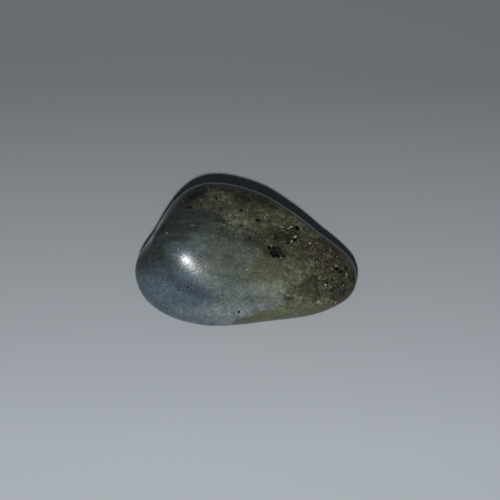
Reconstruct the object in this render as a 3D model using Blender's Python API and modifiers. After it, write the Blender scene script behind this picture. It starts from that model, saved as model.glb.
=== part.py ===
"""Tumbled labradorite: one chip of feldspar whose corners a tumbler has worn round.

Metres, +Z up. The stone lies on its worn-flat underside at Z = 0, with its narrow tip towards +X,
and the origin is under the middle of its length and width.
"""
import math

import bmesh
import bpy
from mathutils import Vector, noise

MM = 0.001

# The broken chip had eight blunt corners. Each one is now a ball: its centre (x, y, z) and its
# radius in millimetres, from the middle of the chip, before the chip is flattened.
WORN_CORNERS = {
    "heel": (Vector((-9.3, -2.1, -2.0)), 5.8),
    "shoulder": (Vector((-5.1, 4.6, -1.0)), 5.4),
    "back": (Vector((0.3, 3.9, -1.6)), 5.0),
    "tip": (Vector((11.0, -2.3, -4.2)), 3.9),
    "chin": (Vector((7.8, -3.2, -3.2)), 4.4),
    "belly": (Vector((-4.6, -4.0, -1.2)), 5.5),
    "brow": (Vector((-7.9, -0.1, 3.3)), 4.0),
    "keel": (Vector((-2.4, 0.4, -3.2)), 5.0),
}
FLATTENING = 0.78            # height of the stone for one unit of height between the balls
EDGE_SOFTNESS = 0.4          # millimetres over which one ball blends into the next
PROPORTIONS = Vector((15.0, 9.7, 7.8))   # half length, width and height before flattening

WAVE_LENGTH = 7.0            # millimetres from one swell of the polished surface to the next
WAVE_HEIGHT = 0.05           # millimetres that a swell stands out

RESTING_WEAR = 0.30          # millimetres ground off the underside, which leaves a flat face
CUTTER_SIZE = 40.0           # millimetres across the block that takes the underside off

CAGE_CUTS = 9                # cuts across each side of the cube that the cage starts from
CAGE_LEVELS = 1              # subdivision levels on the cage

# Plucked pits, where a dark grain or a cleavage splinter has come out: the side of the stone,
# the place on it (x, y), the width and the depth, all in millimetres.
PITS = (
    ("top", 3.7, -0.9, 1.50, 0.34),
    ("top", 2.9, 0.1, 0.70, 0.22),
    ("top", 3.6, 0.2, 0.60, 0.20),
    ("top", 5.0, -1.1, 0.60, 0.18),
    ("top", 5.5, 1.1, 0.60, 0.18),
    ("top", 6.9, 3.1, 0.80, 0.26),
    ("top", 12.3, -2.4, 0.90, 0.26),
    ("top", 1.5, 3.8, 0.70, 0.20),
    ("top", -0.7, 5.1, 0.60, 0.20),
    ("top", -4.1, 6.8, 0.60, 0.18),
    ("underside", -8.5, -4.0, 0.90, 0.26),
    ("underside", 4.5, 3.5, 0.80, 0.24),
    ("underside", 9.5, 1.6, 0.70, 0.20),
)
RIM_CHIP = ((-12.6, 2.9, 6.5), 0.60, 0.20)   # place (x, y, z), width and depth in millimetres

STONE_COLOUR = (0.075, 0.085, 0.078, 1.0)
STONE_ROUGHNESS = 0.12


def new_collection(name):
    """A collection in the scene for the stone, or for what cuts it."""
    collection = bpy.data.collections.new(name)
    bpy.context.scene.collection.children.link(collection)
    return collection


def worn_point(facing):
    """The point of the unflattened chip whose surface faces the given way.

    The ball that reaches furthest that way has the most say, and its neighbours pull a little,
    so flats and edges run into each other softly.
    """
    reaches = {name: centre.dot(facing) + radius for name, (centre, radius) in WORN_CORNERS.items()}
    furthest = max(reaches.values())
    pulls = {name: math.exp((reach - furthest) / EDGE_SOFTNESS) for name, reach in reaches.items()}
    total = sum(pulls.values())
    middle = Vector()
    for name, (centre, radius) in WORN_CORNERS.items():
        middle += centre * pulls[name] / total
    reach = furthest + EDGE_SOFTNESS * math.log(total)
    return middle + (reach - middle.dot(facing)) * facing


def surface_point(direction):
    """The stone's surface for one direction of the cage, in millimetres from its middle."""
    facing = Vector([direction[axis] / PROPORTIONS[axis] for axis in range(3)]).normalized()
    point = worn_point(facing)
    point += facing * WAVE_HEIGHT * noise.noise(point / WAVE_LENGTH)
    return Vector((point.x, point.y, point.z * FLATTENING))


def resting_shift():
    """The move that puts the ground underside on Z = 0 and the origin under the middle."""
    right, left = surface_point(Vector((1, 0, 0))), surface_point(Vector((-1, 0, 0)))
    rear, front = surface_point(Vector((0, 1, 0))), surface_point(Vector((0, -1, 0)))
    lowest = surface_point(Vector((0, 0, -1))).z
    return Vector((-(right.x + left.x) / 2, -(rear.y + front.y) / 2, -lowest - RESTING_WEAR))


def stone_material():
    """Polished dark grey-green feldspar."""
    material = bpy.data.materials.new("polished_labradorite")
    material.use_nodes = True
    shader = material.node_tree.nodes["Principled BSDF"]
    shader.inputs["Base Color"].default_value = STONE_COLOUR
    shader.inputs["Roughness"].default_value = STONE_ROUGHNESS
    shader.inputs["Metallic"].default_value = 0.0
    material.diffuse_color = STONE_COLOUR
    return material


def make_stone(collection, shift):
    """The worn chip: an even cage of quads laid on the balls, then subdivided."""
    shape = bmesh.new()
    bmesh.ops.create_cube(shape, size=2.0)
    bmesh.ops.subdivide_edges(shape, edges=shape.edges[:], cuts=CAGE_CUTS, use_grid_fill=True)
    for vertex in shape.verts:
        even = Vector([math.tan(value * math.pi / 4) for value in vertex.co])
        vertex.co = (surface_point(even.normalized()) + shift) * MM
    bmesh.ops.recalc_face_normals(shape, faces=shape.faces[:])
    mesh = bpy.data.meshes.new("labradorite")
    shape.to_mesh(mesh)
    shape.free()
    mesh.shade_smooth()
    mesh.materials.append(stone_material())
    stone = bpy.data.objects.new("labradorite", mesh)
    collection.objects.link(stone)
    soften = stone.modifiers.new("worn_smooth", 'SUBSURF')
    soften.levels = CAGE_LEVELS
    soften.render_levels = CAGE_LEVELS
    return stone


def make_cutter(name, mesh_maker, collection, **settings):
    """A hidden solid that is only there to be taken away from the stone."""
    shape = bmesh.new()
    mesh_maker(shape, **settings)
    mesh = bpy.data.meshes.new(name)
    shape.to_mesh(mesh)
    shape.free()
    cutter = bpy.data.objects.new(name, mesh)
    cutter.hide_render = True
    cutter.display_type = 'WIRE'
    collection.objects.link(cutter)
    return cutter


def cut_pit(name, point, normal, width, depth, collection):
    """A ball sunk into the surface just far enough to leave a pit of this width and depth."""
    radius = (width * width / 4 + depth * depth) / (2 * depth)
    ball = make_cutter(name, bmesh.ops.create_icosphere, collection,
                       subdivisions=3, radius=radius * MM)
    ball.location = point + normal * (radius - depth) * MM


def cut_pits(stone, collection):
    """Every pit, found by looking straight down on the stone or straight up at it."""
    for number, (side, x, y, width, depth) in enumerate(PITS, start=1):
        look = Vector((0, 0, -1)) if side == "top" else Vector((0, 0, 1))
        start = (Vector((x, y, 0)) - look * CUTTER_SIZE) * MM
        found, point, normal, face = stone.ray_cast(start, look)
        cut_pit(f"pit_cutter_{number}", point, normal, width, depth, collection)
    place, width, depth = RIM_CHIP
    found, point, normal, face = stone.closest_point_on_mesh(Vector(place) * MM)
    cut_pit("rim_chip_cutter", point, normal, width, depth, collection)


def cut_underside(collection):
    """The block under Z = 0 that leaves the flat face the stone lies on."""
    block = make_cutter("underside_cutter", bmesh.ops.create_cube, collection,
                        size=CUTTER_SIZE * MM)
    block.location.z = -CUTTER_SIZE * MM / 2


def main():
    for old in list(bpy.data.objects):
        bpy.data.objects.remove(old, do_unlink=True)
    stones = new_collection("tumbled_labradorite")
    cutters = new_collection("cutters")
    stone = make_stone(stones, resting_shift())
    bpy.context.view_layer.update()
    cut_pits(stone, cutters)
    cut_underside(cutters)
    wear = stone.modifiers.new("wear_marks", 'BOOLEAN')
    wear.operation = 'DIFFERENCE'
    wear.operand_type = 'COLLECTION'
    wear.collection = cutters
    wear.solver = 'EXACT'


main()
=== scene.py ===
# %% [markdown]
# # A tumbled labradorite
#
# This lesson finishes one small stone: a chip of labradorite, a dark feldspar, that has been
# rolled in a tumbler until its corners were round and its skin took a polish. It is about 30 mm
# long. What makes it look real is a smooth but not quite even form, a few plucked pits, clouds of
# grey, slate and olive inside the stone, black grains, bright cleavage flecks, and a clear gloss
# over it all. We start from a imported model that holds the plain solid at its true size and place.

# %% Load the plain solid
import math

import bmesh
import bpy
import numpy as np
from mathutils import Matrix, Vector


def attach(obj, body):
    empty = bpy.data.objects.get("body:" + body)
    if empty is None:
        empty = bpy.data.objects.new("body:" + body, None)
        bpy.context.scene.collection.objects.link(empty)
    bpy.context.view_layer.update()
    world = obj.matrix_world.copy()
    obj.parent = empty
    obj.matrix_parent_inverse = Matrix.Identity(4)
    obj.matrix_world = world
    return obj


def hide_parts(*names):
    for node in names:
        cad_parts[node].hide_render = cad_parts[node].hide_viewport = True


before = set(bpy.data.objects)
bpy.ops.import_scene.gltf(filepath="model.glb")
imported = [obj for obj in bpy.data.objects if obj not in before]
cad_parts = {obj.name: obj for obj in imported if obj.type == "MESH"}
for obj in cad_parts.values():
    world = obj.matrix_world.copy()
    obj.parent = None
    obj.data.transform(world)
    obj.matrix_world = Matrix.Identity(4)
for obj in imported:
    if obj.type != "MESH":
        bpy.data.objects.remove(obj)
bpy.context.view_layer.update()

STONE_NODE = "labradorite"
MM = 0.001

# %% [markdown]
# ## The camera
#
# A small stone on a table is looked at from steeply above, so that its outline shows as a lopsided
# teardrop. A long lens from a hand's span away keeps the outline free of distortion. We place the
# camera by its height angle above the table, and aim it at a point near the stone's middle.

# %% Camera
IMAGE_SIZE = 500                 # pixels, the frame is square
VIEW_HEIGHT_ANGLE = 78.0         # degrees above the table
CAMERA_DISTANCE = 240.0          # millimetres
PIXEL_ON_STONE = 0.135           # millimetres that one pixel covers at the stone
SENSOR_WIDTH = 36.0              # millimetres
STONE_MIDDLE = Vector((0.0, 0.0, 6.1))
AIM_RIGHT, AIM_UP = 3.26, 2.99   # pixels from the stone's middle to the middle of the picture
NEAREST_SEEN = 5.0               # millimetres, nothing nearer to the lens is drawn

view_angle = math.radians(VIEW_HEIGHT_ANGLE)
to_camera = Vector((0.0, -math.cos(view_angle), math.sin(view_angle)))
camera_up = Vector((0.0, math.sin(view_angle), math.cos(view_angle)))
aim = STONE_MIDDLE + (Vector((1, 0, 0)) * AIM_RIGHT + camera_up * AIM_UP) * PIXEL_ON_STONE

camera_data = bpy.data.cameras.new("table_camera")
camera_data.sensor_width = SENSOR_WIDTH
camera_data.lens = SENSOR_WIDTH * CAMERA_DISTANCE / (IMAGE_SIZE * PIXEL_ON_STONE)
camera_data.clip_start = NEAREST_SEEN * MM
camera = bpy.data.objects.new("table_camera", camera_data)
camera.location = (aim + to_camera * CAMERA_DISTANCE) * MM
camera.rotation_euler = to_camera.to_track_quat('Z', 'Y').to_euler()
bpy.context.scene.collection.objects.link(camera)
bpy.context.scene.camera = camera
print("lens, mm:", round(camera_data.lens, 1))

# %% [markdown]
# ## The worn form
#
# The chip that went into the tumbler had eight blunt corners. Tumbling turned each corner into a
# ball and each edge into a soft roll between two balls. A modeller could sculpt this, but a formula
# is shorter and perfectly smooth, which a polished skin needs, because a gloss shows every lump.
# For any way that the skin can face, the ball that reaches furthest that way has the most say, and
# its neighbours pull a little. The numbers are the same ones that the plain solid was made from.

# %% The eight worn corners
#          centre (x, y, z) and radius, in millimetres, from the chip's middle
WORN_CORNERS = {
    "heel": ((-9.3, -2.1, -2.0), 5.8),
    "shoulder": ((-5.1, 4.6, -1.0), 5.4),
    "back": ((0.3, 3.9, -1.6), 5.0),
    "tip": ((11.0, -2.3, -4.2), 3.9),
    "chin": ((7.8, -3.2, -3.2), 4.4),
    "belly": ((-4.6, -4.0, -1.2), 5.5),
    "brow": ((-7.9, -0.1, 3.3), 4.0),
    "keel": ((-2.4, 0.4, -3.2), 5.0),
}
FLATTENING = 0.78                # height of the stone for one unit of height between the balls
EDGE_SOFTNESS = 0.4              # millimetres over which one ball blends into the next
RESTING_WEAR = 0.30              # millimetres ground off the underside
SQUASH = np.array([1.0, 1.0, FLATTENING])
CENTRES = np.array([centre for centre, radius in WORN_CORNERS.values()])
RADII = np.array([radius for centre, radius in WORN_CORNERS.values()])


def unit(vectors):
    """Each row of an array, scaled to a length of one."""
    return vectors / np.linalg.norm(vectors, axis=1, keepdims=True)


def worn_chip(facing):
    """The points whose skin faces each given way, and how the points move as the facing turns."""
    reach = facing @ CENTRES.T + RADII
    furthest = reach.max(axis=1, keepdims=True)
    pull = np.exp((reach - furthest) / EDGE_SOFTNESS)
    total = pull.sum(axis=1, keepdims=True)
    pull = pull / total
    middle = pull @ CENTRES
    distance = furthest + EDGE_SOFTNESS * np.log(total)
    outward = distance - np.einsum("ij,ij->i", middle, facing)[:, None]
    points = middle + outward * facing
    scatter = np.einsum("ni,ia,ib->nab", pull, CENTRES, CENTRES)
    scatter -= np.einsum("na,nb->nab", middle, middle)
    bending = scatter / EDGE_SOFTNESS + outward[:, :, None] * np.eye(3)
    return points, bending


axis_points = worn_chip(unit(np.vstack([np.eye(3), -np.eye(3)]) / SQUASH))[0] * SQUASH
stone_shift = np.array([
    -(axis_points[0, 0] + axis_points[3, 0]) / 2,
    -(axis_points[1, 1] + axis_points[4, 1]) / 2,
    -axis_points[5, 2] - RESTING_WEAR,
])
print("stone length, mm:", round(axis_points[0, 0] - axis_points[3, 0], 2))

# %% [markdown]
# ## Where the skin is broken
#
# Tumbling plucks out dark grains and splinters of cleavage, so the polish is dotted with pits. Other
# grains stay in, flush with the skin, and only their colour shows. Both are listed one by one, by the
# place on the stone in millimetres, because a few marks in the right places say more than many
# random ones. Each has a length and a width, a turn, a depth (nothing for a grain that is still in),
# and how black it is.

# %% The list of pits and grains
#    side     x      y    long  wide  turn  deep  black
MARKS = (
    ("top", 3.65, -0.75, 1.15, 0.90, 15, 0.20, 0.78),    # the big plucked cluster
    ("top", 4.15, -0.95, 0.60, 0.60, 40, 0.14, 0.90),
    ("top", 3.55, -1.10, 0.42, 0.30, 10, 0.12, 1.0),
    ("top", 3.95, -0.60, 0.30, 0.26, 0, 0.10, 0.95),
    ("top", 3.30, -0.60, 0.28, 0.26, 0, 0.08, 0.90),
    ("top", 2.95, 0.05, 0.44, 0.60, 0, 0.14, 1.0),
    ("top", 3.65, 0.05, 0.58, 0.32, 0, 0.14, 1.0),
    ("top", 4.95, -1.0, 0.44, 0.36, 0, 0.12, 1.0),
    ("top", 3.85, -0.45, 1.95, 1.45, 30, 0.0, 0.52),
    ("top", 5.55, 0.95, 0.66, 0.34, 35, 0.12, 1.0),
    ("top", 6.45, 1.4, 0.62, 0.30, 35, 0.10, 1.0),
    ("top", 6.6, 2.35, 0.30, 0.26, 0, 0.06, 0.9),
    ("top", 6.1, 2.15, 0.28, 0.22, 0, 0.0, 0.8),
    ("top", 5.75, 2.35, 0.26, 0.20, 0, 0.0, 0.7),
    ("top", 4.9, 2.35, 0.46, 0.24, -15, 0.0, 0.5),
    ("top", 2.05, 1.35, 0.26, 0.26, 0, 0.0, 0.8),
    ("top", 2.5, 1.4, 0.26, 0.24, 0, 0.0, 0.8),
    ("top", 6.8, 3.15, 0.56, 0.80, 10, 0.20, 1.0),
    ("top", 12.15, -2.2, 0.76, 0.44, 25, 0.16, 1.0),
    ("top", 12.65, -2.6, 0.52, 0.36, -45, 0.16, 1.0),
    ("top", 14.45, -3.3, 0.28, 0.46, 0, 0.10, 1.0),
    ("top", 12.9, -4.0, 0.50, 0.20, 30, 0.06, 0.8),
    ("top", 11.4, -5.1, 0.62, 0.26, 25, 0.08, 0.85),
    ("top", 10.75, -4.2, 0.24, 0.24, 0, 0.08, 1.0),
    ("top", 1.5, 3.8, 0.72, 0.32, 5, 0.16, 1.0),
    ("top", 3.0, 3.9, 0.40, 0.26, 0, 0.10, 0.85),
    ("top", -0.7, 5.1, 0.46, 0.42, 0, 0.18, 1.0),
    ("top", -0.8, 2.9, 0.26, 0.24, 0, 0.08, 0.9),
    ("top", -4.1, 6.8, 0.38, 0.50, -30, 0.16, 1.0),
    ("top", -2.8, 6.6, 0.70, 0.26, 0, 0.0, 0.75),
    ("top", -7.6, 5.4, 0.80, 0.42, 0, 0.10, 0.9),
    ("top", -7.9, 6.2, 0.60, 0.34, 10, 0.0, 0.55),
    ("top", -4.2, 4.5, 0.28, 0.28, 0, 0.05, 0.75),
    ("top", -4.6, 4.8, 0.24, 0.24, 0, 0.0, 0.65),
    ("top", -3.3, 3.7, 0.40, 0.22, -20, 0.0, 0.45),
    ("top", 0.4, 1.2, 0.34, 0.50, 0, 0.06, 0.9),
    ("top", -0.3, 1.5, 0.30, 0.22, 0, 0.0, 0.45),
    ("top", -1.05, -8.35, 0.40, 0.46, -20, 0.10, 0.95),
    ("top", -1.6, -8.5, 0.30, 0.20, 0, 0.0, 0.65),
    ("top", -5.5, -9.0, 0.22, 0.40, 0, 0.0, 0.75),
    ("top", -3.2, -6.4, 0.36, 0.26, 0, 0.0, 0.7),
    ("top", -3.2, -5.9, 0.20, 0.24, 0, 0.0, 0.45),
    ("top", -1.5, -5.8, 0.24, 0.22, 0, 0.0, 0.5),
    ("top", -7.8, -5.4, 0.30, 0.38, -20, 0.0, 0.65),
    ("top", -9.0, -5.7, 0.26, 0.22, 0, 0.05, 0.9),
    ("top", -12.0, -5.9, 0.28, 0.24, 0, 0.05, 0.8),
    ("top", -11.1, -4.3, 0.42, 0.22, 30, 0.0, 0.55),
    ("top", -10.0, -3.8, 0.22, 0.34, 0, 0.0, 0.45),
    ("top", -8.9, -7.0, 0.30, 0.22, 60, 0.0, 0.5),
    ("top", -9.3, -5.2, 0.26, 0.20, 0, 0.0, 0.5),
    ("top", -8.7, -5.45, 0.22, 0.20, 0, 0.0, 0.45),
    ("top", -8.2, -5.0, 0.24, 0.18, 0, 0.0, 0.4),
    ("top", -7.4, -5.9, 0.22, 0.18, 0, 0.0, 0.4),
    ("top", -3.9, -6.55, 0.24, 0.22, 0, 0.0, 0.5),
    ("top", -4.2, -5.4, 0.22, 0.16, 0, 0.0, 0.35),
    ("top", -8.3, -6.9, 0.28, 0.16, -30, 0.0, 0.45),
    ("top", 4.5, -7.4, 0.32, 0.18, 0, 0.0, 0.7),
    ("top", 5.5, -6.5, 0.70, 0.30, 5, 0.0, 0.45),
    ("underside", -8.5, -4.0, 0.90, 0.70, 15, 0.22, 0.9),
    ("underside", 4.5, 3.5, 0.80, 0.60, -20, 0.20, 0.9),
    ("underside", 9.5, 1.6, 0.70, 0.50, 40, 0.18, 0.9),
    ("underside", -4.0, 4.6, 0.50, 0.35, 0, 0.0, 0.8),
    ("underside", -10.0, 0.5, 0.40, 0.40, 0, 0.08, 0.9),
    ("underside", 0.5, -6.0, 0.40, 0.30, 30, 0.0, 0.7),
)
#           x      y     z    long  wide  turn deep  black: one chip on the rim of the left flank
RIM_CHIP = (-12.5, 2.75, 6.9, 1.20, 1.05, 50, 0.30, 1.0)
print("pits and grains listed:", len(MARKS) + 1)

# %% [markdown]
# ## Bright cleavage flecks
#
# Labradorite splits along flat planes. Where a tiny splinter just under the polish has come loose, it
# throws light back like a mirror chip. The flecks lie mostly in the olive half of the stone and along
# one broken line. They are flush with the skin and too small to be modelled as separate pieces, so
# here we only list them, each one a short dash, and later paint them on the fine mesh.

# %% The list of flecks
#     x      y    long  wide  turn  bright
FLECKS = (
    (-12.0, 3.0, 0.34, 0.12, 60, 0.40),
    (-10.6, 1.7, 0.20, 0.20, 0, 0.7),
    (-9.0, -0.7, 0.22, 0.20, 0, 0.5),
    (-7.2, 2.6, 0.26, 0.20, 0, 0.4),
    (-3.0, 2.9, 0.24, 0.20, 0, 0.5),
    (-6.2, 6.5, 0.18, 0.40, 0, 0.3),
    (-8.5, 6.5, 0.20, 0.20, 0, 0.3),
    (3.7, 3.45, 0.95, 0.17, -20, 0.28),
    (4.75, 3.12, 1.15, 0.17, -14, 0.42),
    (5.95, 3.25, 0.42, 0.26, 25, 0.8),
    (5.6, 3.0, 0.40, 0.24, 20, 0.6),
    (6.5, 1.85, 0.54, 0.26, 35, 0.9),
    (6.0, 1.15, 0.56, 0.20, 45, 0.7),
    (3.3, 0.35, 0.16, 0.42, 0, 0.40),
    (3.4, 1.6, 0.42, 0.34, 0, 0.20),
    (1.5, -0.2, 0.50, 0.20, -15, 0.20),
    (0.2, -0.3, 0.36, 0.20, 20, 0.18),
    (4.55, -1.2, 0.34, 0.20, 0, 0.30),
    (3.8, 2.7, 0.26, 0.26, 0, 0.22),
    (1.6, 2.1, 0.42, 0.30, 0, 0.15),
    (8.5, 1.1, 0.34, 0.26, 0, 0.9),
    (8.9, 0.7, 0.30, 0.16, 0, 0.25),
    (9.5, 1.2, 0.22, 0.22, 0, 0.25),
    (11.3, 0.5, 0.26, 0.26, 0, 0.4),
    (11.4, -0.6, 0.40, 0.16, 15, 0.3),
    (12.2, -0.5, 0.40, 0.18, -10, 0.3),
    (10.5, -0.3, 0.22, 0.36, 0, 0.3),
    (12.1, -1.8, 0.42, 0.22, -15, 0.5),
    (11.5, -2.3, 0.30, 0.26, 0, 0.35),
    (9.4, -1.5, 0.20, 0.40, 0, 0.3),
    (13.5, -2.8, 0.30, 0.40, 0, 0.5),
    (13.0, -4.35, 0.28, 0.24, 0, 0.4),
    (10.55, -4.5, 0.26, 0.26, 0, 1.0),
    (9.6, -6.7, 0.42, 0.24, 20, 0.55),
    (12.0, -6.5, 0.26, 0.24, 0, 0.55),
    (11.5, -6.5, 0.24, 0.18, 0, 0.35),
    (0.1, -3.1, 0.18, 0.32, 0, 0.6),
    (0.5, 7.8, 0.36, 0.18, -10, 0.4),
    (1.25, 7.7, 0.26, 0.22, 0, 0.4),
    (5.5, -6.1, 0.30, 0.26, 0, 0.35),
)
print("flecks listed:", len(FLECKS))

# %% [markdown]
# ## The skin as a mesh
#
# A cube cut into a fine grid and blown up to a ball has even squares and no poles, so nothing pinches
# in the reflections. To keep the squares even on the stone too, each one is sent straight out from
# the middle until it meets the form. The formula gives a point for each facing, so we look for the
# facing whose tangent plane cuts the line nearest to the middle: that plane touches the form just
# where the line does. A turn that makes the cut nearer is kept, and a turn that overshoots is halved.

# %% Meet the form along a line from the middle
TURN_ROUNDS = 40                 # rounds of correction
LEAST_SLANT = 0.02               # a facing whose cosine to its line is less than this is refused
TINY = 1e-6                      # keeps a division away from nought


def stone_skin(directions):
    """Points of the stone, in millimetres, straight out along each direction, and their facing."""
    lines = unit(directions / SQUASH)
    facing = lines.copy()
    points, bending = worn_chip(facing)
    share = np.ones(len(lines))
    for _ in range(TURN_ROUNDS):
        cut = np.einsum("ij,ij->i", points, facing) / np.einsum("ij,ij->i", lines, facing)
        turn = np.linalg.solve(bending, (cut[:, None] * lines - points)[:, :, None])[:, :, 0]
        trial = unit(facing + turn * share[:, None])
        trial_points, trial_bending = worn_chip(trial)
        slant = np.einsum("ij,ij->i", lines, trial)
        trial_cut = np.einsum("ij,ij->i", trial_points, trial) / np.maximum(slant, TINY)
        better = (slant > LEAST_SLANT) & (trial_cut <= cut)
        facing[better] = trial[better]
        points[better] = trial_points[better]
        bending[better] = trial_bending[better]
        share = np.where(better, np.minimum(1.0, share * 2), share / 2)
    return points * SQUASH + stone_shift, unit(facing / SQUASH)


crown = stone_skin(np.array([[0.0, 0.0, 1.0]]))[0][0]
print("skin straight above the middle, mm:", [round(float(value), 2) for value in crown])

# %% [markdown]
# ### Finer squares around the marks
#
# Around each pit, grain and fleck the squares are cut finer, while the ball is still a ball, and only
# then is it laid on the worn form. In this way the extra points lie on the true surface, and the
# triangles are spent where there is something to show.

# %% A ball of even squares, finer around the marks
SKIN_CUTS = 87                   # cuts across each side of the starting cube
MARK_CUTS = 2                    # extra cuts around a pit, grain or fleck
MARK_MARGIN = 0.20               # millimetres of fine mesh around a mark
BALL_PROPORTIONS = np.array([15.0, 9.7, 6.3])      # about half the length, width and height
OUT_OF_REACH = 1e6               # millimetres, added on the side of the stone that doesn't count


def ball_directions(shape):
    """A direction for every vertex of the cube, so spread that the stone's squares come out even."""
    corners = np.array([vertex.co for vertex in shape.verts])
    return unit(unit(np.tan(corners * math.pi / 4)) * BALL_PROPORTIONS)


def mark_places(points, facing):
    """Where each mark sits on the skin: its point, the way the skin faces, and its sizes."""
    places = []
    for side, x, y, *sizes in MARKS:
        right_side = facing[:, 2] > 0 if side == "top" else facing[:, 2] < 0
        apart = np.hypot(points[:, 0] - x, points[:, 1] - y) + np.where(right_side, 0, OUT_OF_REACH)
        nearest = apart.argmin()
        places.append((np.array([x, y, points[nearest, 2]]), facing[nearest], sizes))
    x, y, z, *sizes = RIM_CHIP
    nearest = np.linalg.norm(points - np.array([x, y, z]), axis=1).argmin()
    places.append((points[nearest], facing[nearest], sizes))
    return places


skin = bmesh.new()
bmesh.ops.create_cube(skin, size=2.0)
bmesh.ops.subdivide_edges(skin, edges=skin.edges[:], cuts=SKIN_CUTS, use_grid_fill=True)
points, facing = stone_skin(ball_directions(skin))
marks = mark_places(points, facing)
near_mark = np.zeros(len(points), dtype=bool)
for place, out, (length, width, *rest) in marks:
    near_mark |= np.linalg.norm(points - place, axis=1) < max(length, width) / 2 + MARK_MARGIN
for x, y, length, *rest in FLECKS:
    apart = np.hypot(points[:, 0] - x, points[:, 1] - y)
    near_mark |= (apart < length / 2 + MARK_MARGIN) & (facing[:, 2] > 0)
skin.verts.index_update()
fine_edges = [edge for edge in skin.edges
              if near_mark[edge.verts[0].index] and near_mark[edge.verts[1].index]]
bmesh.ops.subdivide_edges(skin, edges=fine_edges, cuts=MARK_CUTS, use_grid_fill=True)
bmesh.ops.triangulate(skin, faces=[face for face in skin.faces if len(face.verts) > 4])
print("skin faces:", len(skin.faces), "around marks:", len(fine_edges))

# %% [markdown]
# ## Noise of our own
#
# The swells of the skin and the ragged rims of the pits need a noise that goes up and down smoothly.
# Blender has one for single points, but a skin of many thousand points is quicker with arrays. So we
# give every corner of a grid of cubes a fixed number that looks like chance, and ease from corner to
# corner. The same seed gives the same stone on every run.

# %% Smooth noise for whole arrays
NOISE_SEED = 11
SHUFFLES = (374761393, 668265263, 2147483647)      # large odd numbers that scatter x, y and z
SEED_SHUFFLE, LAST_SHUFFLE = 144665, 1274126177
ALL_BITS, LOW_BITS, HALF_OF_LOW_BITS = 0xFFFFFFFF, 0xFFFFFF, 0x7FFFFF


def lattice_value(cells, seed):
    """A fixed pseudo-random number between -1 and 1 for each whole-numbered cell."""
    mixed = (cells @ np.array(SHUFFLES) + seed * SEED_SHUFFLE) & ALL_BITS
    mixed = ((mixed ^ (mixed >> 13)) * LAST_SHUFFLE) & ALL_BITS
    mixed = mixed ^ (mixed >> 16)
    return (mixed & LOW_BITS) / HALF_OF_LOW_BITS - 1.0


def smooth_noise(points, wavelength, seed=NOISE_SEED):
    """Value noise between -1 and 1 that swells over about one wavelength."""
    stretched = points / wavelength
    cell = np.floor(stretched).astype(np.int64)
    part = stretched - cell
    ease = part * part * part * (part * (part * 6 - 15) + 10)
    total = np.zeros(len(points))
    for corner in np.ndindex(2, 2, 2):
        weight = np.prod(np.where(np.array(corner) == 1, ease, 1 - ease), axis=1)
        total += weight * lattice_value(cell + np.array(corner), seed)
    return total


trial_noise = smooth_noise(points, 1.0)
print("noise runs from", round(float(trial_noise.min()), 2), "to", round(float(trial_noise.max()), 2))

# %% [markdown]
# ## Laying the ball on the form
#
# Even a well polished stone is not a mathematical surface. It has slow swells that the tumbler could
# not take out, and a fainter ripple, so its reflections wander a little. A few places stand out or
# fall in more than the eight balls tell: a fuller brow and chin, and on the left flank a full shoulder
# over a hollow, which makes the rim turn more tightly there. A displace modifier could lift the skin
# too, but a short list of soft bell-shaped lifts puts each one just where it belongs. Last, nothing
# may sink below the table, and a soft limit at its height leaves the resting flat with a rounded rim.

# %% Lay the ball on the form
SWELL_WAVE, SWELL_HEIGHT = 6.0, 0.030      # millimetres
RIPPLE_WAVE, RIPPLE_HEIGHT = 1.6, 0.004
FLAT_ROUNDING = 0.05                       # millimetres, softens the rim of the resting flat
#     place (x, y, z)      reach  rise: where the stone stands out a little, or falls in
SWELLS = (
    ((-10.7, -2.2, 10.3), 2.1, 0.23),
    ((-15.0, -1.6, 5.0), 1.7, 0.13),
    ((-12.7, 2.4, 2.0), 1.5, 0.06),
    ((-10.9, 5.6, 2.4), 1.6, 0.42),
    ((-11.0, 3.2, 9.0), 1.3, 0.20),
    ((-11.8, 1.6, 9.4), 1.2, 0.28),
    ((-12.6, 2.2, 6.4), 1.5, -0.28),
    ((-9.8, 7.2, 5.0), 1.3, 0.18),
    ((-2.4, 9.8, 5.0), 1.7, 0.14),
    ((6.7, 5.7, 4.0), 1.1, 0.08),
    ((9.8, 3.2, 4.0), 1.2, -0.12),
    ((14.4, -1.2, 3.5), 1.4, -0.08),
    ((14.2, -5.4, 3.0), 1.8, 0.13),
    ((8.0, -8.3, 3.5), 2.6, 0.20),
    ((-1.0, -9.6, 4.5), 2.6, 0.11),
    ((-9.4, -8.9, 4.0), 2.0, 0.16),
)

points, facing = stone_skin(ball_directions(skin))
lift = SWELL_HEIGHT * smooth_noise(points, SWELL_WAVE)
lift += RIPPLE_HEIGHT * smooth_noise(points, RIPPLE_WAVE)
for centre, reach, rise in SWELLS:
    apart = np.linalg.norm(points - np.array(centre), axis=1)
    lift += rise * np.exp(-0.5 * (apart / reach) ** 2)
points += facing * lift[:, None]
height = points[:, 2]
points[:, 2] = (height + np.sqrt(height ** 2 + FLAT_ROUNDING ** 2)) / 2
print("skin moved by, mm:", round(float(lift.min()), 2), "to", round(float(lift.max()), 2))

# %% [markdown]
# ## Sinking the pits
#
# Each pit is pressed in along the way the skin faces. A pit is not a round dimple: its rim is ragged
# and its walls are steep, because the grain broke out along cleavage. Noise bends the distance from
# its middle, and a steep step turns that distance into depth. A boolean cut would do as well for one
# pit, but moving the points keeps the mesh whole and can be done for all of them at once.

# %% Sink the pits, and note where each grain is
RAGGED_WAVE = 0.28       # millimetres from one notch of a pit's rim to the next
RAGGEDNESS = 0.28        # share of its size by which a mark's rim wanders
WALL_START, WALL_END = 1.0, 0.45           # a pit's wall, in shares of its radius
BLACK_START, BLACK_END = 1.15, 0.85        # where its blackness sets in, and where it is full


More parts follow.
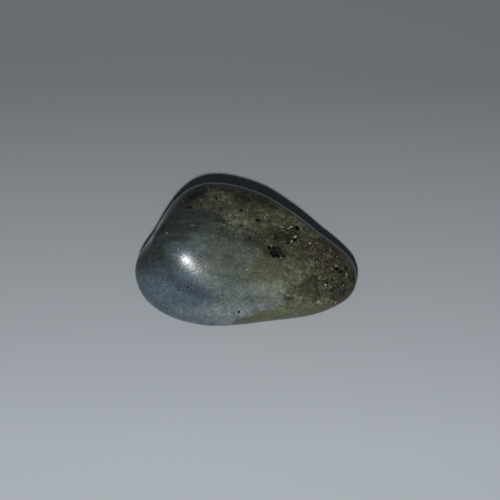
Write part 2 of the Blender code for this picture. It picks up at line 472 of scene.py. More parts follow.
def step(value, start, end):
    """A smooth step from 0 at start to 1 at end."""
    part = np.clip((value - start) / (end - start), 0.0, 1.0)
    return part * part * (3 - 2 * part)


black = np.zeros(len(points))
sunk = np.zeros(len(points))
for seed, (place, out, (length, width, turn, depth, blackness)) in enumerate(marks):
    along = np.array([math.cos(math.radians(turn)), math.sin(math.radians(turn)), 0.0])
    along -= out * (along @ out)
    along /= np.linalg.norm(along)
    across = np.cross(out, along)
    offset = points - place
    close = np.linalg.norm(offset, axis=1) < max(length, width)
    spread = np.hypot(offset[close] @ along / (length / 2), offset[close] @ across / (width / 2))
    spread += RAGGEDNESS * smooth_noise(points[close], RAGGED_WAVE, seed=seed)
    black[close] = np.maximum(black[close], blackness * step(spread, BLACK_START, BLACK_END))
    sunk[close] = np.maximum(sunk[close], depth * step(spread, WALL_START, WALL_END))
points -= facing * sunk[:, None]
print("marks:", len(marks), "deepest pit, mm:", round(float(sunk.max()), 2))

# %% [markdown]
# ## Painting the flecks
#
# A fleck only changes colour, so the points stay where they are. Each vertex gets a brightness from 0
# to 1, which is highest in the middle of a dash and fades to nothing over its edge. The mesh is fine
# enough here to carry that without a picture.

# %% Paint the flecks
FLECK_REACH = 1.0                # millimetres, no fleck is longer than twice this
GLINT_START, GLINT_END = 1.1, 0.5          # where its brightness sets in, in shares of its radius

bright = np.zeros(len(points))
for x, y, length, width, turn, brightness in FLECKS:
    lean = math.radians(turn)
    offset = points[:, :2] - np.array([x, y])
    close = (np.linalg.norm(offset, axis=1) < FLECK_REACH) & (facing[:, 2] > 0)
    along = offset[close] @ np.array([math.cos(lean), math.sin(lean)]) / (length / 2)
    across = offset[close] @ np.array([-math.sin(lean), math.cos(lean)]) / (width / 2)
    spread = np.hypot(along, across)
    bright[close] = np.maximum(bright[close], brightness * step(spread, GLINT_START, GLINT_END))
print("vertices in flecks:", int((bright > 0).sum()))

# %% [markdown]
# ## From bmesh to a Blender object
#
# The points go back into the bmesh, in metres, and the mesh carries its notes as attributes: how
# black and how bright each vertex is. The material reads them by name later on. The new skin rides
# on the stone's body and stands in for the plain solid.

# %% The finished skin
skin.verts.ensure_lookup_table()
for vertex, point in zip(skin.verts, points * MM):
    vertex.co = point
bmesh.ops.recalc_face_normals(skin, faces=skin.faces[:])
skin_mesh = bpy.data.meshes.new("labradorite_skin")
skin.to_mesh(skin_mesh)
skin.free()
skin_mesh.shade_smooth()
for name, values in (("black_grain", black), ("bright_fleck", bright)):
    attribute = skin_mesh.attributes.new(name, 'FLOAT', 'POINT')
    attribute.data.foreach_set("value", values.astype(np.float32))
stone = bpy.data.objects.new("labradorite_skin", skin_mesh)
bpy.context.scene.collection.objects.link(stone)
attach(stone, "root")
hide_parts(STONE_NODE)
print("skin triangles:", sum(len(face.vertices) - 2 for face in skin_mesh.polygons))

# %% [markdown]
# ## The stone's colours
#
# Labradorite is not one colour. Its body is a cloudy grey-green to olive, darker where you see deep
# into it, and thin layers inside throw back a slate-blue sheen where they lie just right. We build
# the colour as a painter would: soft clouds first, each with a place, a size and a colour, then a
# mottle at several sizes, then grains. Noise bends every cloud's edge so that none looks like an
# ellipse. All of it is worked out from the place on the stone, in millimetres, so it needs no picture
# and looks the same from every side.

# %% Colour helpers
STONE_GAIN = 1.35                # a stone's own colour for one unit of the colour seen under the lamp
LAMP_TINT = (0.97, 1.0, 1.03)    # the lamp is a little blue, like daylight


def linear(red, green, blue):
    """A display colour from 0 to 255 as the light it stands for."""
    channels = [value / 255 for value in (red, green, blue)]
    return tuple(value / 12.92 if value <= 0.04045 else ((value + 0.055) / 1.055) ** 2.4
                 for value in channels)


def paint(red, green, blue):
    """The stone colour that shows as this display colour where the lamp shines straight on it."""
    seen = linear(red, green, blue)
    return tuple(value * STONE_GAIN / tint for value, tint in zip(seen, LAMP_TINT)) + (1.0,)


print("a middle grey as a stone colour:", [round(value, 3) for value in paint(128, 128, 128)])

# %% Node helpers
gem = bpy.data.materials.new("polished_labradorite")
gem.use_nodes = True
tree = gem.node_tree
shader = tree.nodes["Principled BSDF"]
MIX_UNDER, MIX_OVER, MIX_RESULT = 6, 7, 2  # the colour sockets of a mix node, which share their names


def node(kind, **settings):
    """A new node, with its plain settings."""
    made = tree.nodes.new(kind)
    for name, value in settings.items():
        setattr(made, name, value)
    return made


def feed(socket, value):
    """Give a socket a fixed value, or the output of another node."""
    if isinstance(value, bpy.types.NodeSocket):
        tree.links.new(value, socket)
    else:
        socket.default_value = value


def number(operation, first, second=0.0):
    """One step of arithmetic on two numbers, or on one."""
    made = node("ShaderNodeMath", operation=operation)
    feed(made.inputs[0], first)
    feed(made.inputs[1], second)
    return made.outputs[0]


def scaled(vector, size):
    """A vector, or a colour, times a number."""
    made = node("ShaderNodeVectorMath", operation='SCALE')
    feed(made.inputs[0], vector)
    feed(made.inputs["Scale"], size)
    return made.outputs[0]


def fade(value, low, high, bottom=0.0, top=1.0):
    """A smooth change from bottom to top as a value goes from low to high."""
    made = node("ShaderNodeMapRange", interpolation_type='SMOOTHSTEP')
    feed(made.inputs["Value"], value)
    feed(made.inputs["From Min"], low)
    feed(made.inputs["From Max"], high)
    feed(made.inputs["To Min"], bottom)
    feed(made.inputs["To Max"], top)
    return made.outputs["Result"]


def blend(amount, under, over):
    """Lay one colour over another by an amount from 0 to 1."""
    made = node("ShaderNodeMix", data_type='RGBA', clamp_factor=True)
    feed(made.inputs[0], amount)
    feed(made.inputs[MIX_UNDER], under)
    feed(made.inputs[MIX_OVER], over)
    return made.outputs[MIX_RESULT]


def cloud_noise(place, swells, detail=3.0, roughness=0.55):
    """Fractal noise, from 0 to 1, with so many swells to a millimetre."""
    made = node("ShaderNodeTexNoise")
    feed(made.inputs["Vector"], place)
    feed(made.inputs["Scale"], swells)
    feed(made.inputs["Detail"], detail)
    feed(made.inputs["Roughness"], roughness)
    return made


print("material:", gem.name)

# %% [markdown]
# ### The place on the stone
#
# Every colour below asks one question: where on the stone am I? The texture coordinate gives the place
# in metres, and we turn it into millimetres. Clouds in rock have frayed, wandering edges, so they get
# a place that noise has pushed about, first in long bends and then in short ones. Straight features
# get a place that is only stirred a little. This costs a few nodes once, and every cloud shares them.

# %% The place on the stone in millimetres, straight and bent
BEND_SWELLS, BEND_REACH = 0.30, 2.2        # swells to a millimetre, millimetres
FRAY_SWELLS, FRAY_REACH = 1.3, 0.8
WAVER_REACH = 0.35


def pushed(start, swells, reach):
    """A place, pushed aside by noise: at most about half the reach either way."""
    push = node("ShaderNodeVectorMath", operation='MULTIPLY_ADD')
    feed(push.inputs[0], cloud_noise(place, swells, detail=2.0).outputs["Color"])
    feed(push.inputs[1], (reach, reach, reach))
    feed(push.inputs[2], (-reach / 2, -reach / 2, -reach / 2))
    made = node("ShaderNodeVectorMath", operation='ADD')
    feed(made.inputs[0], start)
    feed(made.inputs[1], push.outputs[0])
    return made.outputs[0]


coordinates = node("ShaderNodeTexCoord")
place = scaled(coordinates.outputs["Object"], 1 / MM)
bent_place = pushed(pushed(place, BEND_SWELLS, BEND_REACH), FRAY_SWELLS, FRAY_REACH)
wavering_place = pushed(place, FRAY_SWELLS, WAVER_REACH)
print("nodes so far:", len(tree.nodes))

# %% [markdown]
# ### Clouds
#
# The clouds run from the blunt heel on the left, where the sheen is, to the narrow tip on the right.
# First come the large quiet areas: charcoal over the shoulder, a grey-green middle, the slate sheen in
# the heel, a pale tongue of sheen along the belly, and the olive skirt under it. Then come the small
# ones that break them up: pale curds, brown towards the tip, and dark smoke around the big pit. A few
# clouds paint light and shade. There is a blue glow with a pale tail around the bright spot on the
# brow.
# Dark shade runs along the rim at the back and on the left flank, where the skin turns away from the
# lamp, and along the low front edge and under the tip, near the table. All of them come from one small
# palette, so that the stone keeps together. Each cloud is an ellipsoid with a soft edge, laid over the
# ones before it.

# %% The palette and the clouds
PALETTE = {
    "olive": (67, 69, 54),
    "pale_olive": (96, 99, 82),
    "moss": (77, 80, 62),
    "lichen": (84, 88, 69),
    "bark": (57, 55, 43),
    "rust": (60, 53, 44),
    "smoke": (42, 41, 34),
    "charcoal": (53, 59, 57),
    # dusk serves for the painted shade along the rims, and for one dark dash
    "dusk": (24, 28, 29),
    "soot": (42, 46, 47),
    "grey_green": (77, 85, 77),
    "slate": (75, 87, 97),
    "indigo": (61, 69, 77),
    "sheen": (93, 101, 97),
    "sage": (106, 114, 104),
    # flash is the colour of the painted glow around the bright spot on the brow
    "flash": (86, 100, 106),
    "pale_sheen": (108, 117, 118),
    "straw": (112, 113, 94),
    "bone": (128, 126, 106),
    "iron": (20, 21, 20),
    "jet": (18, 18, 13),
    "hollow": (4, 4, 4),
    "spark": (182, 182, 166),
}
#    name               colour        place (x, y, z)     half sizes       turn  edge  strength
CLOUDS = (
    ("left_body", "charcoal", (-11.5, 2.5, 9.0), (8.2, 7.0, 10.0), 0, 0.5, 1.0),
    ("tip_body", "bark", (11.3, -2.2, 6.0), (4.8, 4.8, 7.0), 0, 0.8, 0.95),
    ("middle", "grey_green", (-1.9, -1.9, 10.0), (5.2, 4.0, 8.0), -12, 0.9, 0.95),
    ("slate_heel", "slate", (-9.0, -7.3, 7.5), (8.4, 4.7, 8.0), -8, 0.4, 0.95),
    ("belly_tongue", "sheen", (0.6, -7.1, 8.5), (5.4, 2.2, 7.0), 5, 0.6, 0.90),
    ("skirt", "lichen", (8.2, -8.9, 4.5), (9.8, 2.2, 6.0), 10, 0.3, 1.0),
    ("belly_bloom", "pale_sheen", (-4.4, -8.2, 7.0), (4.8, 1.1, 3.0), -2, 0.9, 0.38),
    ("belly_rim", "pale_sheen", (-4.0, -9.3, 5.0), (4.2, 0.7, 2.6), 2, 0.9, 0.50),
    ("sheen_end", "sage", (2.7, -5.6, 8.5), (2.2, 1.6, 3.0), -10, 0.9, 0.75),
    ("flank_moss", "pale_olive", (5.0, -3.7, 8.0), (1.9, 1.5, 3.0), -10, 1.0, 0.62),
    # the next two clouds are painted shade: on the left flank and along its rim, where the skin turns
    # away from the lamp
    ("rear_flank_painted_shade", "dusk", (-11.4, 5.0, 6.0), (2.9, 5.4, 4.0), -38, 0.9, 0.95),
    ("flank_rim_painted_shade", "dusk", (-11.6, 2.9, 8.6), (2.8, 0.9, 4.0), 58, 1.0, 0.75),
    ("heel_smoke", "soot", (-13.8, 0.0, 7.5), (3.0, 2.0, 4.0), -10, 0.9, 0.90),
    ("crown_smoke", "smoke", (-8.0, 6.6, 8.5), (1.9, 1.4, 4.0), -20, 0.9, 0.70),
    ("shoulder_bark", "olive", (-5.8, 6.1, 9.9), (1.9, 0.9, 3.0), -10, 1.0, 0.70),
    # painted shade on the rim behind the shoulder, where the skin turns away from the lamp
    ("crown_lid_painted_shade", "dusk", (-5.8, 7.9, 8.5), (2.6, 1.1, 3.0), 12, 1.0, 0.86),
    ("crown_curd", "pale_olive", (-3.6, 7.0, 9.0), (1.6, 1.2, 3.0), -20, 1.0, 0.40),
    ("crown_bark", "smoke", (0.5, 7.3, 8.0), (3.4, 1.2, 3.0), -18, 0.9, 0.80),
    # painted shade along the rim at the back, where the skin turns away from the lamp
    ("back_rim_painted_shade", "dusk", (-0.5, 8.8, 7.0), (5.5, 1.1, 3.0), -14, 0.8, 0.60),
    ("back_shade", "bark", (1.5, 5.6, 8.8), (1.6, 0.9, 3.0), -20, 1.0, 0.45),
    ("back_curd", "pale_olive", (-1.0, 4.3, 9.7), (1.7, 1.5, 3.0), -15, 1.0, 0.48),
    ("back_moss", "moss", (2.9, 4.9, 8.5), (2.2, 1.2, 3.0), -20, 1.0, 0.50),
    ("right_dip", "smoke", (5.3, 2.9, 8.2), (1.0, 0.8, 3.0), 0, 1.0, 0.65),
    ("right_curd", "pale_olive", (5.6, 4.5, 7.6), (1.6, 0.9, 3.0), -25, 1.0, 0.34),
    # the next five clouds paint the glow around the bright spot on the brow: two bluish patches beside
    # the spot, a pale one in its tail to the lower right, and two darker ones that dim the glow's edge
    ("brow_shade", "charcoal", (-10.0, 0.1, 11.2), (1.7, 1.0, 3.0), -30, 1.0, 0.60),
    ("blue_glow_painted", "flash", (-8.7, -1.3, 11.6), (1.9, 1.4, 3.0), -35, 1.0, 0.80),
    ("brow_glow_painted", "flash", (-6.2, -0.3, 11.6), (1.8, 1.1, 3.0), -20, 1.0, 0.45),
    ("glow_dip_painted", "charcoal", (-6.4, -2.4, 11.4), (0.9, 0.9, 3.0), 0, 1.0, 0.35),
    ("glow_tail_painted", "sage", (-4.7, -5.0, 10.5), (1.4, 0.7, 3.0), -10, 1.0, 0.65),
    ("brow_mist", "grey_green", (-5.4, 0.6, 11.6), (1.8, 1.0, 3.0), -10, 1.0, 0.60),
    ("middle_bloom", "sage", (-2.8, -2.9, 10.3), (1.5, 1.0, 3.0), -15, 1.0, 0.20),
    ("middle_dip", "charcoal", (-2.6, -1.9, 10.6), (3.0, 0.8, 3.0), -2, 1.0, 0.38),
    ("middle_shade", "charcoal", (-2.6, 1.3, 10.8), (2.8, 0.8, 3.0), -5, 1.0, 0.60),
    ("middle_smear", "sage", (-0.2, -2.5, 10.0), (0.9, 1.4, 3.0), -10, 1.0, 0.32),
    ("smoke_left", "smoke", (1.6, 1.2, 10.0), (2.1, 1.5, 3.0), 0, 1.0, 0.57),
    ("smoke_right", "smoke", (5.6, 2.3, 8.4), (2.3, 1.4, 3.0), 8, 1.0, 0.86),
    ("pit_smoke", "smoke", (4.0, -0.7, 9.0), (1.7, 1.2, 2.5), 0, 1.0, 0.85),
    ("flank_shade", "bark", (9.2, -0.1, 8.0), (2.5, 1.4, 3.0), 0, 1.0, 0.80),
    ("middle_moss", "moss", (2.4, -2.7, 9.5), (2.0, 1.7, 3.0), 0, 1.0, 0.85),
    ("flank_curd", "pale_olive", (7.3, -2.3, 8.0), (1.9, 1.0, 3.0), -15, 1.0, 0.45),
    ("low_curd", "pale_olive", (5.8, -6.0, 7.5), (1.4, 0.9, 3.0), 0, 1.0, 0.60),
    ("skirt_curd", "pale_olive", (9.3, -6.8, 5.5), (1.6, 0.7, 3.0), 12, 1.0, 0.58),
    # painted shade along the low front edge of the skirt, near the table
    ("skirt_foot_painted_shade", "bark", (8.0, -8.1, 3.0), (7.5, 0.8, 2.4), 13, 0.9, 0.35),
    ("low_bark", "smoke", (10.8, -4.7, 7.0), (1.9, 0.9, 3.0), 4, 1.0, 0.52),
    ("tip_rust", "rust", (10.6, 0.5, 6.0), (4.0, 1.9, 3.0), -35, 1.0, 0.76),
    ("rear_moss", "moss", (8.2, 3.1, 7.0), (1.4, 0.9, 3.0), -35, 1.0, 0.95),
    ("tip_shade", "smoke", (11.2, -1.4, 6.8), (2.7, 1.1, 3.0), -15, 1.0, 0.46),
    # painted shade on the lower rim of the tip, near the table
    ("tip_under_painted_shade", "rust", (12.4, -6.4, 3.6), (3.0, 0.9, 2.5), 22, 0.9, 0.58),
    ("tip_smoke", "smoke", (13.9, -4.6, 5.0), (1.8, 2.4, 4.0), -30, 1.0, 0.66),
)


def cloud_amount(centre, half_sizes, turn, edge, space=bent_place):
    """How much of a cloud is at a place: 1 inside, fading to 0 over its soft edge."""
    local = node("ShaderNodeMapping", vector_type='TEXTURE')
    feed(local.inputs["Vector"], space)
    feed(local.inputs["Location"], centre)
    feed(local.inputs["Rotation"], (0.0, 0.0, math.radians(turn)))
    feed(local.inputs["Scale"], half_sizes)
    distance = node("ShaderNodeVectorMath", operation='LENGTH')
    feed(distance.inputs[0], local.outputs[0])
    return fade(distance.outputs["Value"], 1.0 + edge / 2, 1.0 - edge / 2)


colour = paint(*PALETTE["olive"])
for name, tint, centre, half_sizes, turn, edge, strength in CLOUDS:
    amount = number('MULTIPLY', cloud_amount(centre, half_sizes, turn, edge), strength)
    colour = blend(amount, colour, paint(*PALETTE[tint]))
print("clouds:", len(CLOUDS))

# %% [markdown]
# ### Bands
#
# A few layers come up to the skin and show as straight bands: the indigo stripe across the heel, a
# pale one under the belly with a greyer one over it, and dark dashes on the shoulder. They are laid
# down like the clouds, but their places are hardly bent, so they stay straight and their edges crisp.

# %% The bands
#    name            colour        place (x, y, z)     half sizes        turn  edge  strength
BANDS = (
    ("indigo_band", "indigo", (-7.4, -5.6, 9.7), (3.8, 0.75, 4.0), -24, 0.9, 0.88),
    ("heel_shade", "indigo", (-10.8, -3.3, 9.7), (2.0, 1.1, 3.0), -18, 1.0, 0.60),
    ("belly_shade", "grey_green", (1.2, -6.75, 8.3), (4.6, 0.42, 3.0), 3, 0.7, 0.35),
    ("belly_stripe", "pale_sheen", (-1.8, -8.0, 7.8), (5.0, 0.55, 3.0), 4, 0.8, 0.52),
    ("skirt_end", "moss", (0.6, -9.0, 6.3), (2.8, 0.36, 2.0), 12, 0.6, 0.75),
    ("low_dash", "smoke", (5.5, -6.55, 7.4), (0.75, 0.26, 2.0), 8, 1.2, 0.60),
    ("crown_dash", "soot", (-7.2, 4.6, 10.5), (1.1, 0.24, 2.0), 8, 0.9, 0.55),
    ("back_dash", "soot", (-4.7, 3.7, 10.8), (1.4, 0.24, 2.0), -12, 0.9, 0.60),
    ("back_hook", "soot", (-3.1, 3.3, 10.6), (0.28, 0.42, 2.0), 0, 0.9, 0.70),
    ("brow_dash", "soot", (-7.2, 2.2, 11.5), (0.8, 0.16, 2.0), 5, 0.9, 0.50),
    ("middle_dash", "charcoal", (-2.1, 1.25, 10.6), (1.0, 0.20, 2.0), -8, 0.9, 0.70),
    ("heel_dash", "soot", (-12.0, -0.7, 9.9), (1.9, 0.20, 2.0), 3, 0.9, 0.50),
    ("low_heel_dash", "dusk", (-11.6, -1.7, 10.3), (1.7, 0.18, 2.0), 4, 0.9, 0.35),
)

for name, tint, centre, half_sizes, turn, edge, strength in BANDS:
    amount = cloud_amount(centre, half_sizes, turn, edge, space=wavering_place)
    colour = blend(number('MULTIPLY', amount, strength), colour, paint(*PALETTE[tint]))
print("bands:", len(BANDS))

# %% [markdown]
# ### Mottle
#
# Inside the clouds the stone is curdled. The olive half is strongly mottled, from blotches the size of
# a lentil down to sand. The sheen, the middle, the shoulder and the foot of the skirt are calmer. So
# we make one map of how calm the stone is at each place, and let it decide how far the brightness
# swings. Several sizes of noise are added up and laid on as one exponent, so that light and dark swing
# by the same share and no place can turn negative.

# %% Mottle the clouds
CALM_PLACES = (                  # place, half sizes, turn: where the mottle dies down
    ((-9.0, -6.0, 8.0), (9.0, 5.0, 9.0), -10),
    ((-1.0, -3.5, 9.0), (6.0, 5.0, 8.0), -12),
    ((-10.0, 2.0, 9.0), (6.5, 5.5, 8.0), 0),
    ((3.5, -9.1, 5.0), (8.0, 1.5, 6.0), 10),
)
CALM_EDGE = 0.8                  # softness of their edges
CALM_ENOUGH = 0.8                # from here on no blotches are left
#     swells to a millimetre, swing of brightness where it is lively and where it is calm
MOTTLES = ((0.5, 1.0, 0.35), (1.0, 1.3, 0.45), (1.9, 1.3, 0.6), (3.9, 2.25, 1.3))
#     colour        place       swells to a mm  starts  full   strength
BLOTCHES = (
    ("pale_olive", place, 0.9, 0.50, 0.80, 0.6),
    ("smoke", bent_place, 0.8, 0.50, 0.78, 0.8),
)

calm = 0.0
for centre, half_sizes, turn in CALM_PLACES:
    calm = number('MAXIMUM', cloud_amount(centre, half_sizes, turn, CALM_EDGE), calm)
wildness = fade(calm, 0.0, CALM_ENOUGH, 1.0, 0.0)

for tint, space, swells, start, full, strength in BLOTCHES:
    blotches = cloud_noise(space, swells, detail=4.0, roughness=0.65).outputs["Fac"]
    amount = number('MULTIPLY', fade(blotches, start, full, 0.0, strength), wildness)
    colour = blend(amount, colour, paint(*PALETTE[tint]))

swing = 0.0
for swells, lively, quiet in MOTTLES:
    grain = cloud_noise(place, swells, detail=1.0).outputs["Fac"]
    depth = fade(calm, 0.0, 1.0, lively, quiet)
    swing = number('ADD', swing, number('MULTIPLY', number('SUBTRACT', grain, 0.5), depth))
colour = scaled(colour, number('EXPONENT', swing))
print("kinds of blotches:", len(BLOTCHES), "sizes of mottle:", len(MOTTLES))

# %% [markdown]
# ### Layer lines
#
# Up close the dark end is ruled with hair-fine lines, the traces of the thin layers that make the
# sheen. They could be a wave texture, but its lines are too even. Noise that is squeezed hard in one
# direction changes quickly across the lines and slowly along them, so each one is a little different.
# We only darken and lighten what is there, so the clouds show through.

# %% Layer lines at the dark end
LINES = ((1.3, 0.9), (3.6, 0.8))             # lines to a millimetre, swing
LINE_TURN = 4                    # degrees from the length of the stone
LINE_SQUEEZE = (0.13, 1.0, 0.3)  # how quickly the noise changes along x, y and z
#     place, half sizes, turn and edge of the two areas that show lines, and the share of the second
HEEL_LINES = ((-11.0, 1.6, 9.0), (6.5, 5.0, 8.0), 0, 0.9)
MIDDLE_LINES = ((-2.5, 0.5, 10.5), (5.5, 3.0, 5.0), 0, 0.9)
MIDDLE_LINE_SHARE = 0.5

line_area = number('MAXIMUM', cloud_amount(*HEEL_LINES),
                   number('MULTIPLY', cloud_amount(*MIDDLE_LINES), MIDDLE_LINE_SHARE))
for fineness, depth in LINES:
    drawn = node("ShaderNodeMapping", vector_type='POINT')
    feed(drawn.inputs["Vector"], place)
    feed(drawn.inputs["Rotation"], (0.0, 0.0, math.radians(LINE_TURN)))
    feed(drawn.inputs["Scale"], tuple(squeeze * fineness for squeeze in LINE_SQUEEZE))
    lines = cloud_noise(drawn.outputs[0], 1.0, detail=2.0).outputs["Fac"]
    line_swing = number('MULTIPLY', number('SUBTRACT', lines, 0.5), depth)
    colour = scaled(colour, number('ADD', number('MULTIPLY', line_swing, line_area), 1.0))
print("sizes of layer lines:", len(LINES))

# %% [markdown]
# ### Squiggles
#
# Fine wandering cracks run through the olive half, dark ones and, near the tip, pale ones. Between its
# hills and its dales a noise passes its middle value, and the places where it does form long thin
# lines. A second noise breaks them into short pieces. That is far less work than drawing each crack,
# and nobody would look for one in particular.

# %% Squiggles
SQUIGGLE_WIDTH = 0.05            # how near to its middle the noise counts as a line
BREAK_FINENESS = 1.3             # swells of the noise that breaks a line, for one swell of the line's
BREAK_LOW, BREAK_HIGH = 0.50, 0.60         # where a line starts, and where it is full
TIP_AREA = ((11.4, -1.0, 6.0), (3.8, 4.6, 6.0), 0, 0.7)      # place, half sizes, turn, edge
tip_area = cloud_amount(*TIP_AREA)


def squiggles(swells, seed):
    """Thin wandering lines, where one noise crosses its middle, broken up by another."""
    shifted = node("ShaderNodeVectorMath", operation='ADD')
    feed(shifted.inputs[0], bent_place)
    feed(shifted.inputs[1], (seed, seed, seed))
    crossing = cloud_noise(shifted.outputs[0], swells, detail=1.0).outputs["Fac"]
    distance = number('ABSOLUTE', number('SUBTRACT', crossing, 0.5))
    line = fade(distance, SQUIGGLE_WIDTH, 0.0)
    breaks = cloud_noise(shifted.outputs[0], swells * BREAK_FINENESS, detail=0.0).outputs["Color"]
    parts = node("ShaderNodeSeparateColor")
    feed(parts.inputs[0], breaks)
    return number('MULTIPLY', line, fade(parts.outputs[1], BREAK_LOW, BREAK_HIGH))


#   swells to a mm, seed, where, strength, colour
SQUIGGLES = (
    (1.0, 7.0, wildness, 0.55, "smoke"),
    (1.2, 31.0, tip_area, 0.60, "straw"),
)
for swells, seed, area, strength, tint in SQUIGGLES:
    amount = number('MULTIPLY', squiggles(swells, seed), number('MULTIPLY', area, strength))
    colour = blend(amount, colour, paint(*PALETTE[tint]))
print("kinds of squiggles:", len(SQUIGGLES))

# %% [markdown]
# ### Specks
#
# Sand-fine black specks lie all over the stone, and near the tip there are pale ones. Noise would give
# blots of every shape, but specks are round and crisp. A Voronoi pattern drops one point in each cell
# of a grid, and its colour is a different one for each cell. We draw a speck around a share of the
# points, and let the colour say which points and how large.

# %% Specks
SMALLEST_SPECK = 0.4             # a speck is this large, or up to 1 more, for one unit of its radius
SPECK_START, SPECK_END = 1.3, 0.4          # a speck's edge, in shares of its radius
CHOICE_SOFTNESS = 0.05           # some of the chosen specks are faint
EVERYWHERE = 1.0                 # the amount where nothing is held back


def specks(cells, radius, share):
    """Round specks: so many cells to a millimetre, of a radius in millimetres, in a share of cells."""
    made = node("ShaderNodeTexVoronoi")
    feed(made.inputs["Vector"], bent_place)
    feed(made.inputs["Scale"], cells)
    parts = node("ShaderNodeSeparateColor")
    feed(parts.inputs[0], made.outputs["Color"])
    size = number('MULTIPLY', number('ADD', parts.outputs[1], SMALLEST_SPECK), radius * cells)
    inside = number('DIVIDE', made.outputs["Distance"], size)
    chosen = fade(parts.outputs[0], 1.0 - share, 1.0 - share + CHOICE_SOFTNESS)
    return number('MULTIPLY', fade(inside, SPECK_START, SPECK_END), chosen)


#   cells to a mm, radius, share, where, strength, colour
SPECKS = (
    (1.1, 0.11, 0.45, EVERYWHERE, 0.60, "iron"),
    (0.7, 0.15, 0.45, wildness, 0.85, "jet"),
    (1.9, 0.09, 0.55, tip_area, 0.70, "bone"),
)
for cells, radius, share, area, strength, tint in SPECKS:
    amount = number('MULTIPLY', specks(cells, radius, share), number('MULTIPLY', area, strength))
    colour = blend(amount, colour, paint(*PALETTE[tint]))
print("kinds of specks:", len(SPECKS))

# %% [markdown]
# ### Grains and flecks
#
# The grains and flecks noted on the mesh come last, because nothing lies over them but the polish.
# An attribute node reads each note from the mesh by its name.

# %% Colour the grains and the flecks
black_grain = node("ShaderNodeAttribute", attribute_name="black_grain").outputs["Fac"]
bright_fleck = node("ShaderNodeAttribute", attribute_name="bright_fleck").outputs["Fac"]
colour = blend(black_grain, colour, paint(*PALETTE["hollow"]))
colour = blend(bright_fleck, colour, paint(*PALETTE["spark"]))
feed(shader.inputs["Base Color"], colour)
print("nodes in the stone's material:", len(tree.nodes))

# %% [markdown]
# ## The polish
#
# Tumbled stone has two glosses at once. The clear polish shows a lamp as a small hard spot, and draws
# a thin bright line along the rim. On the brow, where the stone took the most knocks, the skin also
# holds thousands of hairlines, which spread a sparkling glow around that spot. Two materials could be
# mixed for that, but one shader has both: its smooth base gives the clear polish everywhere, and its
# coat, made rough, gives the haze. The weight of the coat is a soft cloud like those above, so it
# stays on the brow. Pits and dark grains take no polish: there the base is rough and the coat ends.

# %% Two glosses
POLISH_ROUGHNESS, POLISH_LEVEL = 0.10, 0.13
HAIRLINE_ROUGHNESS, HAIRLINE_SHARE, HAIRLINE_INDEX = 0.29, 0.29, 3.0
PIT_ROUGHNESS = 1.0
DULL_GAIN = 1.4                  # a mark is fully dull from 1 / 1.4 of full black on
HAZY_BROW = ((-7.2, -1.7, 11.0), (3.1, 2.8, 4.0), -34, 0.9)  # place, half sizes, turn, edge

in_pit = number('MINIMUM', number('MULTIPLY', black_grain, DULL_GAIN), 1.0)
hazy_brow = cloud_amount(*HAZY_BROW)
haze = number('MULTIPLY', hazy_brow, fade(in_pit, 0.0, 1.0, HAIRLINE_SHARE, 0.0))
feed(shader.inputs["Roughness"], fade(in_pit, 0.0, 1.0, POLISH_ROUGHNESS, PIT_ROUGHNESS))
feed(shader.inputs["Coat Weight"], haze)
shader.inputs["Specular IOR Level"].default_value = POLISH_LEVEL
shader.inputs["Coat Roughness"].default_value = HAIRLINE_ROUGHNESS
shader.inputs["Coat IOR"].default_value = HAIRLINE_INDEX
print("roughness of the polish and of the haze:", POLISH_ROUGHNESS, HAIRLINE_ROUGHNESS)

# %% [markdown]
# ### Hairlines in the skin
#
# A gloss that is too clean looks like plastic. So each of the two glosses gets its own fine bump, one
# to three hundredths of a millimetre high. It is far too low to show in the form, and a mesh fine
# enough to hold it would be huge, but it breaks the bright spot into the sparkle of real polish.

# %% Fine bump under each gloss
#     swells to a millimetre, height in millimetres
POLISH_BUMP = (3.6, 0.010)
HAIRLINE_BUMP = (5.0, 0.030)


def fine_bump(swells, height):
    """Skin that rises and falls by a height in millimetres, so many times to a millimetre."""
    made = node("ShaderNodeBump")
    feed(made.inputs["Strength"], 1.0)
    feed(made.inputs["Distance"], height * MM)
    feed(made.inputs["Height"], cloud_noise(place, swells, detail=2.5).outputs["Fac"])
    return made.outputs["Normal"]


feed(shader.inputs["Normal"], fine_bump(*POLISH_BUMP))
feed(shader.inputs["Coat Normal"], fine_bump(*HAIRLINE_BUMP))
skin_mesh.materials.append(gem)
print("bump heights, mm:", POLISH_BUMP[1], HAIRLINE_BUMP[1])

# %% [markdown]
# ## The table
#
# The stone lies on plain pale paper. The sheet is only one flat square, but it does three jobs: it
# fills the view, it catches the shadow, and it is mirrored in the rim of the stone. The light thins
# out towards the back, and a slow change of the paper's own colour from near to far shows that
# without a second lamp. It isn't part of the stone.

# %% Paper
PAPER_HALF = 1500.0              # millimetres from the middle of the sheet to its edge
PAPER_NEAR = (0.559, 0.585, 0.603, 1.0)    # the paper's colour on the camera's side
PAPER_FAR = (0.240, 0.253, 0.262, 1.0)     # and behind the stone, where the light has thinned out
PAPER_FADE = (-26.0, 26.0)       # millimetres, from near to far
PAPER_ROUGHNESS, PAPER_SHINE = 0.9, 0.2

sheet = bmesh.new()
bmesh.ops.create_grid(sheet, x_segments=1, y_segments=1, size=PAPER_HALF * MM)
paper_mesh = bpy.data.meshes.new("paper")
sheet.to_mesh(paper_mesh)
sheet.free()
paper = bpy.data.objects.new("paper", paper_mesh)
bpy.context.scene.collection.objects.link(paper)

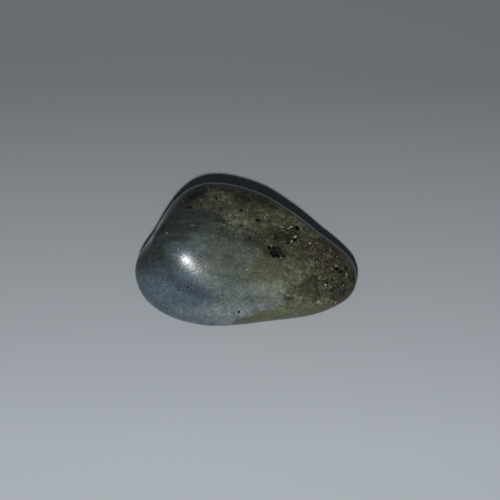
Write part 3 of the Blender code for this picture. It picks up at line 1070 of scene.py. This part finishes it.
paper_finish = bpy.data.materials.new("pale_paper")
paper_finish.use_nodes = True
tree = paper_finish.node_tree    # from here on the node helpers work on the paper's material
paper_shader = tree.nodes["Principled BSDF"]
paper_shader.inputs["Roughness"].default_value = PAPER_ROUGHNESS
paper_shader.inputs["Specular IOR Level"].default_value = PAPER_SHINE
paper_place = scaled(node("ShaderNodeTexCoord").outputs["Object"], 1 / MM)
paper_axes = node("ShaderNodeSeparateXYZ")
feed(paper_axes.inputs[0], paper_place)
paper_tone = node("ShaderNodeMapRange")
feed(paper_tone.inputs["Value"], paper_axes.outputs["Y"])
feed(paper_tone.inputs["From Min"], PAPER_FADE[0])
feed(paper_tone.inputs["From Max"], PAPER_FADE[1])
feed(paper_shader.inputs["Base Color"], blend(paper_tone.outputs["Result"], PAPER_NEAR, PAPER_FAR))
paper_mesh.materials.append(paper_finish)
print("paper, mm across:", 2 * PAPER_HALF)

# %% [markdown]
# ## The lamp and the room
#
# One small soft lamp in front and a little to the left throws a narrow shadow up and to the right, and
# makes the single bright spot on the brow. A sun lamp would give the same shadow, but a disk of a real
# size at a real distance gives that spot its size too. The room adds a weak, slightly blue light that
# keeps the shadow from going black.

# %% Lamp and room
LAMP_HEIGHT_ANGLE = 66.7         # degrees above the table
LAMP_LEFT_ANGLE = 7.8            # degrees to the left of the camera's side
LAMP_DISTANCE = 300.0            # millimetres
LAMP_SIZE = 16.0                 # millimetres
LAMP_POWER = 0.622               # watts
ROOM_LIGHT = (0.047, 0.055, 0.061, 1.0)

lamp_height = math.radians(LAMP_HEIGHT_ANGLE)
lamp_left = math.radians(LAMP_LEFT_ANGLE)
to_lamp = Vector((-math.sin(lamp_left) * math.cos(lamp_height),
                  -math.cos(lamp_left) * math.cos(lamp_height),
                  math.sin(lamp_height)))
lamp_data = bpy.data.lights.new("front_lamp", 'AREA')
lamp_data.shape = 'DISK'
lamp_data.size = LAMP_SIZE * MM
lamp_data.energy = LAMP_POWER
lamp_data.color = LAMP_TINT
lamp = bpy.data.objects.new("front_lamp", lamp_data)
lamp.location = (STONE_MIDDLE + to_lamp * LAMP_DISTANCE) * MM
lamp.rotation_euler = to_lamp.to_track_quat('Z', 'Y').to_euler()
bpy.context.scene.collection.objects.link(lamp)

room = bpy.context.scene.world or bpy.data.worlds.new("room")
bpy.context.scene.world = room
room.use_nodes = True
room_light = room.node_tree.nodes["Background"]
room_light.inputs["Color"].default_value = ROOM_LIGHT
room_light.inputs["Strength"].default_value = 1.0
bpy.context.scene.view_settings.view_transform = 'Standard'
print("lamp at, mm:", [round(value / MM) for value in lamp.location])
